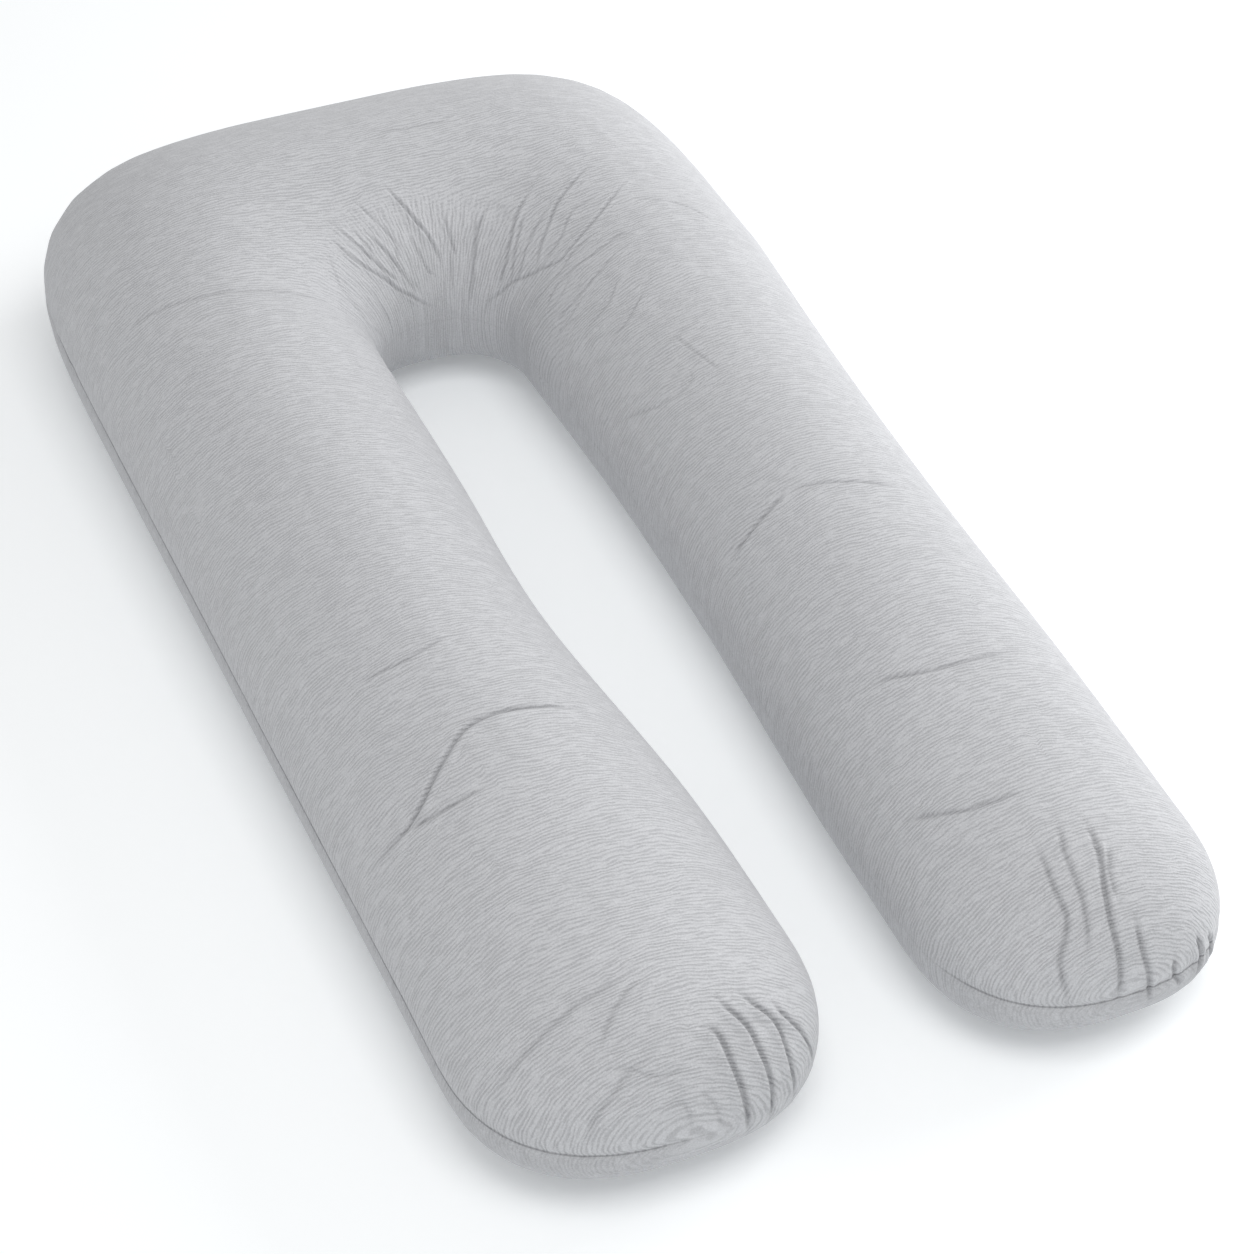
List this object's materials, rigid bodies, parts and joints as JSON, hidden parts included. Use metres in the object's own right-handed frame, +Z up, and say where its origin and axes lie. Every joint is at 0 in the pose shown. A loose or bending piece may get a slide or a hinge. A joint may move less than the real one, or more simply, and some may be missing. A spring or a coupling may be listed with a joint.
{
  "type": "body pillow",
  "caption": "U-shaped filled body pillow with two long round-ended legs, a broad crowned bend and a seam round its side.",
  "frame": {"origin": "middle of the pillow's outer size in plan, on the surface that it lies on", "axes": "+Y along the legs toward the bend, +X toward the right leg, +Z up from the flat underside"},
  "size_m": [0.69, 1.4, 0.21],
  "materials": {
    "jersey": "dull, softly crinkled light grey cotton jersey"
  },
  "bodies": {
    "root": {"pillow": "jersey"}
  },
  "joints": []
}
